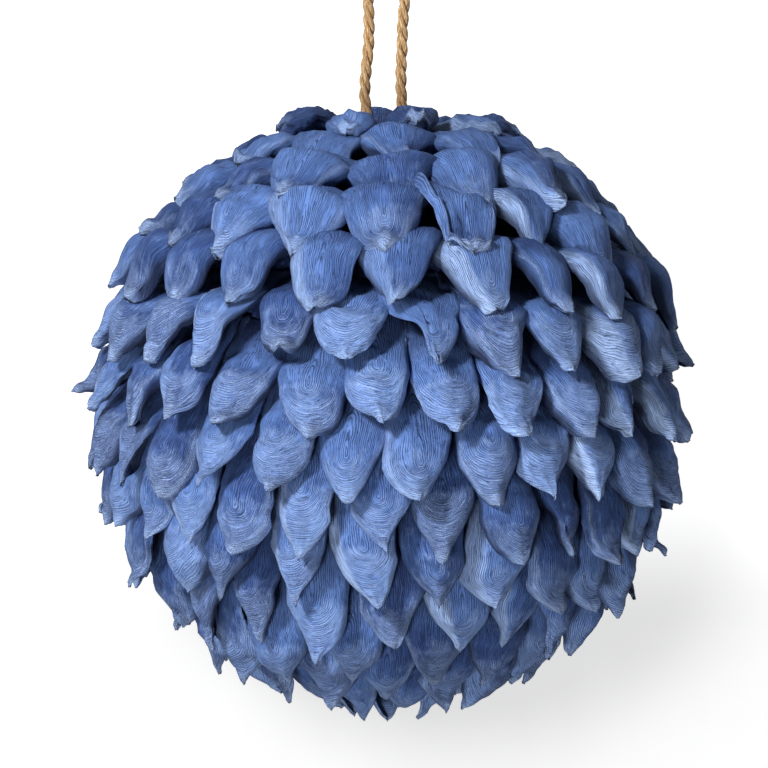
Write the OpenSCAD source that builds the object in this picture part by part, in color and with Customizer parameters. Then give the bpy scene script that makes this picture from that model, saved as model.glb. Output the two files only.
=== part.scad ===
// A hanging decor ball. Cupped, pointed petals are glued by their feet to a
// foam core in one long downward spiral, and overlap like roof tiles.
// A rope loop is glued into two blind holes in the top of the core.
// Millimetres. The origin is the inner top of the rope loop, with z up
// and the front towards -y.

/* [Show] */
// The node to draw, or all of them

/* [Ball] */
// Diameter of the foam core
core_d = 192; // [190:1:204]
// How far the petals' tips stand out from the core
tip_reach = 28; // [26:0.5:32]
// Height from the centre of the ball to the inner top of the rope loop
hang_drop = 190; // [180:1:220]

/* [Petals] */
// Widest width of a petal
petal_w = 24; // [20:0.5:24.5]
// Thickness of the pressed paper
petal_t = 1.2; // [0.8:0.1:1.4]
// Radius of a petal's curve along its length
crown_r = 150; // [120:5:200]
// Radius of a petal's curve across its width
cup_r = 18; // [16:0.5:24]

/* [Rope] */
// Diameter of the rope
rope_d = 4.4; // [3:0.1:5]
// Distance between the two legs of the rope where they enter the core
rope_gap = 14.4; // [12:0.2:18]
// Depth of each rope hole in the core
hole_depth = 42; // [30:1:60]

/* [Hidden] */
$fn = 96;
core_r = core_d / 2;
tip_r = core_r + tip_reach;
// Polar angle of the tips of each turn at the front, and between two turns
turn_tips = [25, 36, 47, 58, 69, 80, 92, 104, 115.5, 127, 139, 151, 162.5, 174];
turn_step = 11.7;
// Polar angle from a petal's foot to its tip away from the top of the ball
petal_span = 24.9;
// The low crown on top of the core, which carries the highest petals
crown_ball_r = 30;
crown_ball_z = core_r - 14;
crown_top = crown_ball_z + crown_ball_r;
// Tip angle from which feet stand at petal_span, and the feet's distance
// from the ball's axis at the first turn and at that tip angle
plain_tip = 45;
first_foot = 13.5;
plain_foot = core_r * sin(plain_tip - petal_span);
// Polar angle from a petal's widest place to its tip
wide_back = 9.6;
// Length under which a petal is slimmer in step with it
slim_len = 42;
// Glue gap under a petal's foot, and play of the rope in its holes
bed_gap = 0.25;
hole_play = 0.3;
rope_sides = 10;
// How much petals differ: tip angle, place around, roll and reach of the tip
tip_play = 1.2;
side_play = 0.5;
roll_play = 6;
out_play = 2;
play_seeds = [11, 31, 51, 71];
// Petals in each turn
turn_counts = [8, 11, 15, 19, 21, 24, 25, 26, 25, 22, 19, 14, 11, 6];
// How far the front petals of each turn sit round to the right, in degrees
turn_shifts = [-4, 4, 0, -1, 3.5, 0, -2, -1, -3, 2, 0, 2, 0, 0];
// Share of one step by which each turn winds down from its start to its end
turn_winds = [0.35, 0.7, 1, 1, 1, 1, 1, 1, 1, 1, 1, 1, 1, 0.5];
// Width of the petals of each turn, and radius of their curve along their
// length, as shares of petal_w and crown_r
turn_wides = [1, 1.08, 1.08, 1.08, 1.06, 1.02, 1.02, 1, 1, 1.04, 1.02, 1.08, 0.98, 1];
turn_curves = [0.27, 0.37, 0.52, 0.7, 0.88, 1, 1, 1, 1, 1, 1, 1, 1, 1];

// Half outline of a petal: share of the length, share of the half width
outline = [[-0.06, 0.30], [0.27, 0.58], [0.47, 0.86], [0.62, 1],
           [0.77, 0.80], [0.87, 0.42], [0.94, 0.15], [1, 0.04]];

// The flat outline, with x along the petal from the foot and y across
module petal_outline(chord, wide) {
    side = [for (p = outline) [p[0] * chord, p[1] * wide / 2]];
    count = len(side);
    back = [for (i = [count - 1:-1:0]) [side[i][0], -side[i][1]]];
    polygon(concat(side, back));
}

// Section across a petal, drawn from the axis of its long curve
module petal_section(curve) {
    kept = cup_r / 2;
    intersection() {
        translate([curve - cup_r, 0]) difference() {
            circle(r = cup_r);
            circle(r = cup_r - petal_t);
        }
        translate([curve - kept, -petal_w]) square([cup_r, 2 * petal_w]);
    }
}

// One petal with its foot at the origin and its tip on the x axis, convex up
module petal(chord, wide, curve) {
    half = asin(chord / 2 / curve);
    over = 3; // degrees of blank past each end of the outline
    below = cup_r * 0.7;
    above = cup_r * 0.5;
    intersection() {
        translate([chord / 2, 0, -curve * cos(half)])
            rotate([90, 0, 0])
                rotate([0, 0, 90 - half - over])
                    rotate_extrude(angle = 2 * (half + over)) petal_section(curve);
        translate([0, 0, -below]) linear_extrude(below + above)
            petal_outline(chord, wide);
    }
}

// Distance of a petal's foot from the ball's axis, and its height
function foot_out(tip) = tip > plain_tip
    ? (core_r + petal_t) * sin(tip - petal_span)
    : first_foot + (plain_foot - first_foot)
        * (tip - turn_tips[0]) / (plain_tip - turn_tips[0]);
function on_ball(r, out) = sqrt(max(r * r - out * out, 0));
function foot_up(tip) = tip > plain_tip
    ? (core_r + petal_t) * cos(tip - petal_span)
    : max(on_ball(core_r + petal_t, foot_out(tip)),
          crown_ball_z + on_ball(crown_ball_r + petal_t, foot_out(tip)));

// A petal on the core: its tip's polar angle, its turn about the ball's
// axis, its roll about its own length and how far its tip stands out
module placed_petal(turn, tip, around, roll, out) {
    foot = [foot_out(tip), foot_up(tip)];
    way = (tip_r + out) * [sin(tip), cos(tip)] - foot;
    wide = petal_w * turn_wides[turn] * min(1, norm(way) / slim_len);
    rotate([0, 0, around - 90])
        translate([foot[0], 0, foot[1]])
            rotate([0, -atan2(way[1], way[0]), 0])
                rotate([roll, 0, 0])
                    petal(norm(way), wide, crown_r * turn_curves[turn]);
}

// The core and its crown, larger by a gap where petals are bedded on it
module core_form(gap) {
    sphere(r = core_r + gap);
    translate([0, 0, crown_ball_z]) sphere(r = crown_ball_r + gap);
}

// One turn of the spiral, starting and ending at the back
module petal_turn(turn) {
    count = turn_counts[turn];
    wind = turn_step * turn_winds[turn];
    mid_tip = turn_tips[turn];
    // petals crowd together where the turn gets narrower
    crowding = -wind * PI / 180 / tan(mid_tip - wide_back);
    tips = rands(-tip_play, tip_play, count, play_seeds[0] + turn);
    turns = rands(-side_play, side_play, count, play_seeds[1] + turn);
    rolls = rands(-roll_play, roll_play, count, play_seeds[2] + turn);
    outs = rands(-out_play, out_play, count, play_seeds[3] + turn);
    color("cornflowerblue") translate([0, 0, -hang_drop]) difference() {
        for (i = [0:count - 1]) {
            t = (i + 0.5) / count - 0.5;
            around = 360 * (t + crowding / 2 * t * t);
            shift = turn_shifts[turn] * (1 + cos(around)) / 2;
            placed_petal(turn, mid_tip + wind * t + tips[i],
                         around + shift + turns[i], rolls[i], outs[i]);
        }
        core_form(bed_gap);
    }
}

module petal_turn_01() petal_turn(0);
module petal_turn_02() petal_turn(1);
module petal_turn_03() petal_turn(2);
module petal_turn_04() petal_turn(3);
module petal_turn_05() petal_turn(4);
module petal_turn_06() petal_turn(5);
module petal_turn_07() petal_turn(6);
module petal_turn_08() petal_turn(7);
module petal_turn_09() petal_turn(8);
module petal_turn_10() petal_turn(9);
module petal_turn_11() petal_turn(10);
module petal_turn_12() petal_turn(11);
module petal_turn_13() petal_turn(12);
module petal_turn_14() petal_turn(13);

// The foam core with its two blind rope holes
module core_ball() {
    color("steelblue") translate([0, 0, -hang_drop]) difference() {
        core_form(0);
        for (side = [-1, 1])
            translate([side * rope_gap / 2, 0, crown_top - hole_depth])
                cylinder(d = rope_d + 2 * hole_play, h = hole_depth + 1);
    }
}

// The rope's centre line from one hole's floor to the other's, as x and
// height over the ball's centre
leg = rope_gap / 2;
floor_z = crown_top - hole_depth + hole_play;
rope_route = [[-leg, floor_z], [-leg, floor_z + 14], [-leg, crown_top - 14],
              [-leg, crown_top - 4], [-leg - 0.5, crown_top + 4],
              [-leg - 1.6, crown_top + 13], [-leg - 1.3, crown_top + 22],
              [-leg - 0.2, crown_top + 33], [-leg, crown_top + 44],
              [-leg - 0.8, hang_drop - 20],
              [-leg - 2.2, hang_drop - 11], [-leg - 1.6, hang_drop - 4.5],
              [-leg + 1.4, hang_drop + 0.2], [0, hang_drop + rope_d / 2],
              [leg - 1.4, hang_drop + 0.2], [leg + 1.6, hang_drop - 4.5],
              [leg + 2.2, hang_drop - 11], [leg + 0.6, hang_drop - 20],
              [leg - 0.8, crown_top + 44], [leg - 1.2, crown_top + 33],
              [leg - 1.6, crown_top + 22], [leg - 1.4, crown_top + 13],
              [leg - 0.5, crown_top + 4], [leg, crown_top - 4],
              [leg, crown_top - 14], [leg, floor_z + 14], [leg, floor_z]];

// The direction of the route at one of its points
function route_way(i) =
    let (a = rope_route[max(i - 1, 0)],
         b = rope_route[min(i + 1, len(rope_route) - 1)])
    (b - a) / norm(b - a);

// One ring of points around the route
function rope_ring(i) =
    let (at = rope_route[i], way = route_way(i))
    [for (k = [0:rope_sides - 1])
        let (turn = 360 * k / rope_sides,
             side = rope_d / 2 * cos(turn))
        [at[0] + side * way[1], rope_d / 2 * sin(turn),
         at[1] - side * way[0] - hang_drop]];

// The rope as one smooth tube
module hanger_rope() {
    rings = len(rope_route);
    last = (rings - 1) * rope_sides;
    skin = [for (i = [0:rings - 2]) for (k = [0:rope_sides - 1])
        let (n = (k + 1) % rope_sides, a = i * rope_sides)
        [a + k, a + n, a + rope_sides + n, a + rope_sides + k]];
    ends = [[for (k = [rope_sides - 1:-1:0]) k],
            [for (k = [0:rope_sides - 1]) last + k]];
    color("burlywood")
        polyhedron([for (i = [0:rings - 1]) each rope_ring(i)],
                   concat(skin, ends));
}

core_ball();
hanger_rope();
petal_turn_01();
petal_turn_02();
petal_turn_03();
petal_turn_04();
petal_turn_05();
petal_turn_06();
petal_turn_07();
petal_turn_08();
petal_turn_09();
petal_turn_10();
petal_turn_11();
petal_turn_12();
petal_turn_13();
petal_turn_14();
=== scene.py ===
"""Looks of the hanging petal ball in the frame of its CAD model.

The pressed paper petals, the foam core, the rope loop, a white backdrop, soft
lamps and the camera are built here. Lengths are in metres, z is up and the
front faces -y.
"""
import logging
import math
import random
from dataclasses import dataclass, field
from enum import Enum
from typing import Any, Optional, Sequence, Union

import bpy
import numpy as np
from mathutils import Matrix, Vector


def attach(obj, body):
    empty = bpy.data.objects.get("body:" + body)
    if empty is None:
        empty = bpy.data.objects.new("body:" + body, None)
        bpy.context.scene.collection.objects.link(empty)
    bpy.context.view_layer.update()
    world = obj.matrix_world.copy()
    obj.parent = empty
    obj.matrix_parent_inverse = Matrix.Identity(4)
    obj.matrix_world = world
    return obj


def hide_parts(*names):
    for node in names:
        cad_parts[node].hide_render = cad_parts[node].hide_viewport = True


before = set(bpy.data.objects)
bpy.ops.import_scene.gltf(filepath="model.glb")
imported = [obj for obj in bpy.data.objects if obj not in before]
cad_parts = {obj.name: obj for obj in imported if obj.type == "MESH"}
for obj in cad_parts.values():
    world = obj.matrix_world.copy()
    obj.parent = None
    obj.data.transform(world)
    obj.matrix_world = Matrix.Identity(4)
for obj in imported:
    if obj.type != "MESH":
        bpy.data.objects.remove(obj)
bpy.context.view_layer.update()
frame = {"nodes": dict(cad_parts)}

MM = 0.001
BALL_CENTRE = Vector((0.0, 0.0, -0.190))

log = logging.getLogger("petal_ball")

Value = Union["Sock", float, int, Sequence[float]]


class Sock:
    """A node's output socket that takes part in plain arithmetic."""

    def __init__(self, tree: "NodeTree", socket: bpy.types.NodeSocket) -> None:
        """Keeps the socket and the tree it lives in.

        Args:
            tree: The tree that new nodes are added to.
            socket: The output socket.
        """
        self.tree = tree
        self.socket = socket

    def _math(self, operation: str, *values: Value) -> "Sock":
        """Adds a Math node.

        Args:
            operation: The node's operation.
            values: Its inputs in order.

        Returns:
            The node's output.
        """
        return self.tree.math(operation, *values)

    def __add__(self, other: Value) -> "Sock":
        return self._math("ADD", self, other)

    def __radd__(self, other: Value) -> "Sock":
        return self._math("ADD", other, self)

    def __sub__(self, other: Value) -> "Sock":
        return self._math("SUBTRACT", self, other)

    def __rsub__(self, other: Value) -> "Sock":
        return self._math("SUBTRACT", other, self)

    def __mul__(self, other: Value) -> "Sock":
        return self._math("MULTIPLY", self, other)

    def __rmul__(self, other: Value) -> "Sock":
        return self._math("MULTIPLY", other, self)

    def __truediv__(self, other: Value) -> "Sock":
        return self._math("DIVIDE", self, other)

    def __rtruediv__(self, other: Value) -> "Sock":
        return self._math("DIVIDE", other, self)

    def __pow__(self, other: Value) -> "Sock":
        return self._math("POWER", self, other)

    def __neg__(self) -> "Sock":
        return self._math("MULTIPLY", self, -1.0)

    def __abs__(self) -> "Sock":
        return self._math("ABSOLUTE", self)

    def sin(self) -> "Sock":
        """Returns the sine of the value in radians."""
        return self._math("SINE", self)

    def cos(self) -> "Sock":
        """Returns the cosine of the value in radians."""
        return self._math("COSINE", self)

    def root(self) -> "Sock":
        """Returns the square root."""
        return self._math("SQRT", self)

    def low(self, other: Value) -> "Sock":
        """Returns the lower of the two values."""
        return self._math("MINIMUM", self, other)

    def high(self, other: Value) -> "Sock":
        """Returns the higher of the two values."""
        return self._math("MAXIMUM", self, other)


class NodeTree:
    """Adds nodes to a shader or geometry tree."""

    def __init__(self, tree: bpy.types.NodeTree) -> None:
        """Keeps the tree.

        Args:
            tree: A material's, world's or modifier's node tree.
        """
        self.tree = tree

    def node(self, kind: str, settings: Optional[dict] = None,
             values: Optional[dict] = None) -> bpy.types.Node:
        """Adds one node.

        Args:
            kind: The node's type name.
            settings: Properties set on the node.
            values: Inputs by name or index, each a value or a Sock.

        Returns:
            The new node.
        """
        made = self.tree.nodes.new(kind)
        for name, value in (settings or {}).items():
            setattr(made, name, value)
        for key, value in (values or {}).items():
            self.feed(made.inputs[key], value)
        return made

    def feed(self, target: bpy.types.NodeSocket, value: Any) -> None:
        """Links or sets one input.

        Args:
            target: The input socket.
            value: A Sock, an output socket or a plain value.
        """
        if isinstance(value, Sock):
            self.tree.links.new(value.socket, target)
        elif isinstance(value, bpy.types.NodeSocket):
            self.tree.links.new(value, target)
        else:
            target.default_value = value

    def out(self, node: bpy.types.Node, key: Union[str, int] = 0) -> Sock:
        """Wraps a node's output.

        Args:
            node: The node.
            key: The output's name or index.

        Returns:
            The wrapped output.
        """
        return Sock(self, node.outputs[key])

    def math(self, operation: str, *values: Value) -> Sock:
        """Adds a Math node.

        Args:
            operation: The operation's name.
            values: Its inputs in order.

        Returns:
            The result.
        """
        return self.out(self.node("ShaderNodeMath", {"operation": operation},
                                  dict(enumerate(values))))

    def step(self, value: Value, low: float, high: float,
             start: float = 0.0, end: float = 1.0) -> Sock:
        """A smooth step from start to end while value goes from low to high.

        Args:
            value: The value to map.
            low: Where the step begins.
            high: Where it ends.
            start: The result up to low.
            end: The result from high.

        Returns:
            The mapped value.
        """
        node = self.node("ShaderNodeMapRange",
                         {"interpolation_type": "SMOOTHSTEP"},
                         {"Value": value, "From Min": low, "From Max": high,
                          "To Min": start, "To Max": end})
        return self.out(node)

    def vector(self, x: Value, y: Value, z: Value = 0.0) -> Sock:
        """Joins three values to a vector.

        Args:
            x: First value.
            y: Second value.
            z: Third value.

        Returns:
            The vector.
        """
        return self.out(self.node("ShaderNodeCombineXYZ", None,
                                  {0: x, 1: y, 2: z}))

    def parts(self, vector: Value) -> tuple[Sock, Sock, Sock]:
        """Splits a vector.

        Args:
            vector: The vector.

        Returns:
            Its three values.
        """
        node = self.node("ShaderNodeSeparateXYZ", None, {0: vector})
        return self.out(node, 0), self.out(node, 1), self.out(node, 2)

    def scaled(self, vector: Value, factor: Value) -> Sock:
        """A vector times a number.

        Args:
            vector: The vector.
            factor: The number.

        Returns:
            The scaled vector.
        """
        node = self.node("ShaderNodeVectorMath", {"operation": "SCALE"},
                         {0: vector, "Scale": factor})
        return self.out(node)

    def summed(self, *vectors: Value) -> Sock:
        """The sum of vectors.

        Args:
            vectors: Two or more vectors.

        Returns:
            Their sum.
        """
        total = vectors[0]
        for vector in vectors[1:]:
            total = self.out(self.node("ShaderNodeVectorMath",
                                       {"operation": "ADD"},
                                       {0: total, 1: vector}))
        return total

    def cross(self, one: Value, other: Value) -> Sock:
        """The cross product of two vectors.

        Args:
            one: The first vector.
            other: The second vector.

        Returns:
            The vector square to both.
        """
        return self.out(self.node("ShaderNodeVectorMath",
                                  {"operation": "CROSS_PRODUCT"},
                                  {0: one, 1: other}))

    def noise(self, vector: Value, scale: float, detail: float = 2.0,
              rough: float = 0.5, turn: Value = 0.0) -> Sock:
        """Four-dimensional noise between 0 and 1.

        Args:
            vector: Where it is read.
            scale: Its scale.
            detail: Number of finer layers.
            rough: Strength of the finer layers.
            turn: The fourth coordinate, which picks another pattern.

        Returns:
            The noise value.
        """
        node = self.node("ShaderNodeTexNoise", {"noise_dimensions": "4D"},
                         {"Vector": vector, "W": turn, "Scale": scale,
                          "Detail": detail, "Roughness": rough})
        return self.out(node)

    def mix(self, factor: Value, one: Value, other: Value) -> Sock:
        """Mixes two colours.

        Args:
            factor: 0 gives the first and 1 the second.
            one: First colour, as a Sock or red, green and blue.
            other: Second colour.

        Returns:
            The mixed colour.
        """
        node = self.node("ShaderNodeMix", {"data_type": "RGBA"})
        self.feed(node.inputs[0], factor)
        for index, colour in ((6, one), (7, other)):
            if not isinstance(colour, Sock):
                colour = (*colour, 1.0)
            self.feed(node.inputs[index], colour)
        return self.out(node, 2)

    def curve(self, value: Value, points: Sequence[tuple[float, float]],
              handles: str = "AUTO_CLAMPED") -> Sock:
        """A curve through points.

        Args:
            value: The value along the curve.
            points: Places and heights, both from 0 to 1.
            handles: How the curve passes through them, round or with corners.

        Returns:
            The curve's height.
        """
        node = self.node("ShaderNodeFloatCurve", None, {"Value": value})
        line = node.mapping.curves[0]
        line.points[0].location = points[0]
        line.points[1].location = points[-1]
        for point in points[1:-1]:
            line.points.new(*point)
        for point in line.points:
            point.handle_type = handles
        node.mapping.update()
        return self.out(node)


def linear(red: int, green: int, blue: int) -> tuple[float, float, float]:
    """A colour as it is seen, as light values.

    Args:
        red: From 0 to 255.
        green: From 0 to 255.
        blue: From 0 to 255.

    Returns:
        Linear red, green and blue.
    """
    def one(level: int) -> float:
        share = level / 255
        if share < 0.04045:
            return share / 12.92
        return ((share + 0.055) / 1.055) ** 2.4
    return one(red), one(green), one(blue)


class Finish:
    """A material built from nodes."""

    name: str = "finish"

    def build(self) -> bpy.types.Material:
        """Makes the material.

        Returns:
            The material.
        """
        material = bpy.data.materials.new(self.name)
        material.use_nodes = True
        tree = NodeTree(material.node_tree)
        shader = next(n for n in material.node_tree.nodes
                      if n.type == "BSDF_PRINCIPLED")
        self.dress(tree, shader)
        return material

    def dress(self, tree: NodeTree, shader: bpy.types.Node) -> None:
        """Fills in the shader.

        Args:
            tree: The material's tree.
            shader: Its surface shader.
        """
        raise NotImplementedError


@dataclass(frozen=True)
class PetalPaper(Finish):
    """Blue dyed fibre paper with nested contour lines round a focus."""

    name: str = "blue_fibre_paper"
    # deep is the dark blue of the grooves, of random dark washes and of the painted shade
    deep: tuple = linear(24, 34, 64)
    shade: tuple = linear(50, 75, 132)
    body: tuple = linear(60, 90, 152)
    light: tuple = linear(91, 124, 188)
    # pale is the colour of worn fibres and edges and of the painted highlights
    pale: tuple = linear(184, 209, 250)
    line_step: float = 0.72
    above: float = 0.09
    below: float = 0.85
    relief: float = 0.46 * MM

    def dress(self, tree: NodeTree, shader: bpy.types.Node) -> None:
        """See Finish.dress."""
        place = tree.node("ShaderNodeAttribute", {"attribute_name": "petal_map"})
        look = tree.node("ShaderNodeAttribute", {"attribute_name": "petal_look"})
        along, across, seed = tree.parts(tree.out(place, "Vector"))
        # tone is a random share per petal; above 1 it also carries the painted highlight
        # of a rolled-down flank
        focus, tone, rim = tree.parts(tree.out(look, "Vector"))
        x = along * 1000.0
        y = across * 1000.0
        turn = seed * 91.0
        flat = tree.vector(x, y)
        past = x - focus * 1000.0
        share = tree.step(past, -2.0, 8.0, self.above, self.below)
        sway = tree.noise(flat, 0.085, 1.0, 0.5, turn) - 0.5
        shiver = tree.noise(flat, 1.3, 2.0, 0.65, turn + 3.0) - 0.5
        fall = share * past
        ring = (y * y + fall * fall).root() + 2.6 * sway + 0.50 * shiver
        # nested grooves, broken here and there
        drift = tree.noise(tree.vector(ring * 0.25, x * 0.08), 1.0, 1.0, 0.5, turn)
        wave = (ring * (2 * math.pi / self.line_step) + drift * 3.0).sin()
        broken = tree.noise(tree.vector(ring * 0.45, x * 0.17, y * 0.16), 1.0, 2.0,
                            0.6, turn + 7.0)
        groove = tree.step(wave, 0.2, 0.95) * tree.step(broken, 0.32, 0.54)
        # fine fibres that follow the grooves
        strand = tree.noise(tree.vector(ring * 3.5, x * 0.13, y * 0.09), 1.0, 2.0,
                            0.6, turn + 11.0)
        fibre = tree.step(strand, 0.34, 0.62)
        split = tree.noise(tree.vector(ring * 3.2, x * 0.20, y * 0.18), 1.0, 2.0, 0.6,
                           turn + 13.0)
        crack = tree.step(split, 0.38, 0.31)
        fleck = tree.step(tree.noise(tree.vector(ring * 3.6, x * 0.30, y * 0.26), 1.0,
                                     2.0, 0.6, turn + 19.0), 0.55, 0.64)
        fuzz = tree.noise(flat, 3.1, 2.0, 0.6, turn + 17.0)
        blot = tree.noise(flat, 0.16, 3.0, 0.6, turn + 23.0)
        wash = tree.noise(flat, 0.045, 2.0, 0.5, turn + 29.0)
        # colour from the deepest grooves to the pale ridges, which mix wear with painted
        # highlight
        tint = tree.mix(tree.step(blot, 0.34, 0.66), self.shade, self.body)
        # through tone, the rolled-down flank is also pushed towards the light colour
        # here, as part of its painted highlight
        tint = tree.mix(tree.step(wash + 0.5 * tone, 0.58, 0.92), tint, self.light)
        tint = tree.mix(tree.step(wash + 0.4 * tone, 0.68, 0.38, 0.0, 0.34), tint,
                        self.deep)
        tint = tree.mix(tree.step(strand, 0.50, 0.70) * 0.32, tint, self.light)
        # pale patches, stronger towards the tip: partly worn paper, partly a painted
        # highlight on the lower part of each petal, where the light falls
        wear_and_highlight = tree.step(blot + 0.36 * tree.step(along / focus, 0.8, 1.35), 0.52, 0.86)
        tint = tree.mix((tree.step(strand, 0.54, 0.74) * 0.26 + fleck * 0.24)
                        * (wear_and_highlight * 0.8 + 0.2)
                        + wear_and_highlight * tree.step(fuzz, 0.34, 0.64, 0.05, 0.30), tint, self.pale)
        # painted highlight: the flank rolled down past the fold is painted pale, as if
        # lit
        lip_highlight = tree.step(tone, 1.05, 1.9)
        tint = tree.mix(lip_highlight * tree.step(strand, 0.30, 0.64, 0.30, 0.72), tint, self.pale)
        tint = tree.mix(rim.high(0.0) * tree.step(fuzz, 0.36, 0.66, 0.10, 0.7), tint,
                        self.pale)
        dark = (groove * 0.68 * (1.0 - 0.40 * wear_and_highlight)).high(crack * 0.68)
        # painted shade: the upper part of each petal, under the petal above, and the
        # steep sides of closed pods are darkened as if in shadow
        painted_shade = tree.step(along / focus, 0.85, 0.30, 0.0, 0.60).high(rim * -0.80)
        dark = 1.0 - (1.0 - dark) * (1.0 - painted_shade)
        colour = tree.mix(dark, tint, self.deep)
        height = (fibre * 0.45 + fuzz * 0.15 - groove * 0.6 - crack * 1.0
                  + blot * 0.5)
        bump = tree.node("ShaderNodeBump", None,
                         {"Strength": 1.0, "Distance": self.relief,
                          "Height": height})
        tree.feed(shader.inputs["Base Color"], colour)
        tree.feed(shader.inputs["Roughness"], tree.step(fibre, 0.0, 1.0, 0.92, 0.74))
        tree.feed(shader.inputs["Specular IOR Level"], 0.22)
        tree.feed(shader.inputs["Normal"], tree.out(bump, "Normal"))


@dataclass(frozen=True)
class CoreFoam(Finish):
    """Deep blue foam that shows only in the gaps between petals."""

    name: str = "deep_blue_foam"
    deep: tuple = linear(28, 40, 76)
    body: tuple = linear(54, 76, 130)

    def dress(self, tree: NodeTree, shader: bpy.types.Node) -> None:
        """See Finish.dress."""
        place = tree.out(tree.node("ShaderNodeTexCoord"), "Object")
        bead = tree.node("ShaderNodeTexVoronoi", {"feature": "F1"},
                         {"Vector": place, "Scale": 420.0})
        cell = tree.out(bead, "Distance")
        grain = tree.noise(place, 1500.0, 3.0)
        # darker at the beads' borders, where the bump sinks between them: painted shade
        tone = tree.step(cell + grain * 0.3, 0.2, 0.85)
        bump = tree.node("ShaderNodeBump", None,
                         {"Strength": 0.8, "Distance": 0.6 * MM,
                          "Height": -cell + grain * 0.3})
        tree.feed(shader.inputs["Base Color"], tree.mix(tone, self.body, self.deep))
        tree.feed(shader.inputs["Roughness"], tree.step(grain, 0.3, 0.7, 0.95, 0.85))
        tree.feed(shader.inputs["Specular IOR Level"], 0.15)
        tree.feed(shader.inputs["Normal"], tree.out(bump, "Normal"))


@dataclass(frozen=True)
class JuteRope(Finish):
    """Tan plant fibre in twisted strands."""

    name: str = "tan_jute"
    deep: tuple = linear(98, 66, 36)
    body: tuple = linear(196, 158, 112)
    # light is the pale fibre colour and also the painted highlight on raised fibres
    light: tuple = linear(244, 220, 180)

    def dress(self, tree: NodeTree, shader: bpy.types.Node) -> None:
        """See Finish.dress."""
        place = tree.node("ShaderNodeAttribute", {"attribute_name": "strand_map"})
        along, around, strand = tree.parts(tree.out(place, "Vector"))
        x = along * 1000.0
        lean = around - x * 0.035
        fibre = tree.noise(tree.vector(x * 0.10, (lean * 2 * math.pi).sin() * 1.6,
                                       (lean * 2 * math.pi).cos() * 1.6),
                           3.2, 4.0, 0.7, strand * 5.0)
        patch = tree.noise(tree.vector(x * 0.06, strand * 3.0), 1.0, 2.0)
        # streaky fibre colour, darkest where the bump sinks and palest where it stands
        # high: fibre colour with painted shade in the low fibres and a painted highlight
        # on the raised ones
        tint = tree.mix(tree.step(fibre, 0.36, 0.58), self.deep, self.body)
        tint = tree.mix(tree.step(fibre + 0.3 * patch, 0.66, 0.86), tint, self.light)
        bump = tree.node("ShaderNodeBump", None,
                         {"Strength": 1.0, "Distance": 0.35 * MM,
                          "Height": fibre})
        tree.feed(shader.inputs["Base Color"], tint)
        tree.feed(shader.inputs["Roughness"], tree.step(fibre, 0.3, 0.7, 0.95, 0.75))
        tree.feed(shader.inputs["Specular IOR Level"], 0.25)
        tree.feed(shader.inputs["Normal"], tree.out(bump, "Normal"))


@dataclass(frozen=True)
class PetalForm:
    """How one petal is bent. Depths are in mm, fold is a share of the half width."""

    cup: float = 7.0
    keel: float = 0.0
    fold: float = 0.0
    dish: float = 0.0
    left: float = 0.0
    right: float = 0.0
    flick: float = -2.5
    puff: float = 3.6
    bend: float = 0.0
    twist: float = 0.0
    pleat: float = 0.5
    broad: float = 1.0
    taper: float = 1.0
    wrap: float = 2.2
    crest: float = 1.0
    knob: float = 1.0
    drop: float = 0.0


class PetalStyle(Enum):
    """The kinds of petal seen on the ball."""

    DOMED = PetalForm(cup=6.2, keel=2.0)
    KEELED = PetalForm(cup=4.6, keel=5.4, fold=-0.28, puff=3.6, pleat=0.7)
    CREASED = PetalForm(cup=5.0, keel=4.6, fold=0.3, puff=3.4, pleat=0.8)
    ROLLED = PetalForm(cup=3.2, keel=1.4, fold=-0.3, drop=11.0, puff=3.0, wrap=1.9)
    EDGED = PetalForm(cup=6.0, keel=0.8, fold=-0.36, drop=5.0, puff=3.2, flick=1.0,
                      left=0.8, right=1.2, wrap=1.45)
    HOLLOW = PetalForm(cup=5.6, dish=0.6, puff=1.6, flick=3.4, left=1.0, right=0.6,
                       pleat=1.0, wrap=1.55, crest=0.3)
    BEAKED = PetalForm(cup=7.4, keel=1.6, fold=0.1, puff=4.4, flick=-4.6, pleat=0.9)
    LIFTED = PetalForm(cup=6.4, keel=1.6, fold=0.0, puff=2.4, flick=3.0, pleat=0.8)
    POD = PetalForm(cup=5.4, keel=1.6, fold=0.2, puff=1.5, flick=-3.0, pleat=1.7,
                    wrap=3.0, knob=1.8, crest=0.2)
    KNOBBED = PetalForm(cup=4.6, keel=3.0, fold=-0.1, puff=1.0, flick=-1.0, pleat=2.0,
                        wrap=3.0, knob=3.0, crest=0.2)
    LIPPED = PetalForm(cup=4.6, keel=2.4, fold=-0.25, drop=6.0, puff=1.0, flick=-2.0,
                       pleat=1.7, wrap=2.9, knob=1.6, crest=0.2)


@dataclass(frozen=True)
class Chosen:
    """A petal at the front that has a form of its own.

    x and z are its tip's place in the picture, in mm from the ball's centre.
    """

    x: float
    z: float
    style: PetalStyle
    changes: dict = field(default_factory=dict)


@dataclass
class PetalPlace:
    """Where one CAD petal lies: its foot, its three directions and its sizes."""

    foot: Vector
    along: Vector
    across: Vector
    out: Vector
    length: float
    width: float
    arch: float

    @property
    def tip(self) -> Vector:
        """The tip's place, from the ball's centre."""
        return self.foot + self.along * self.length - BALL_CENTRE


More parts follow.
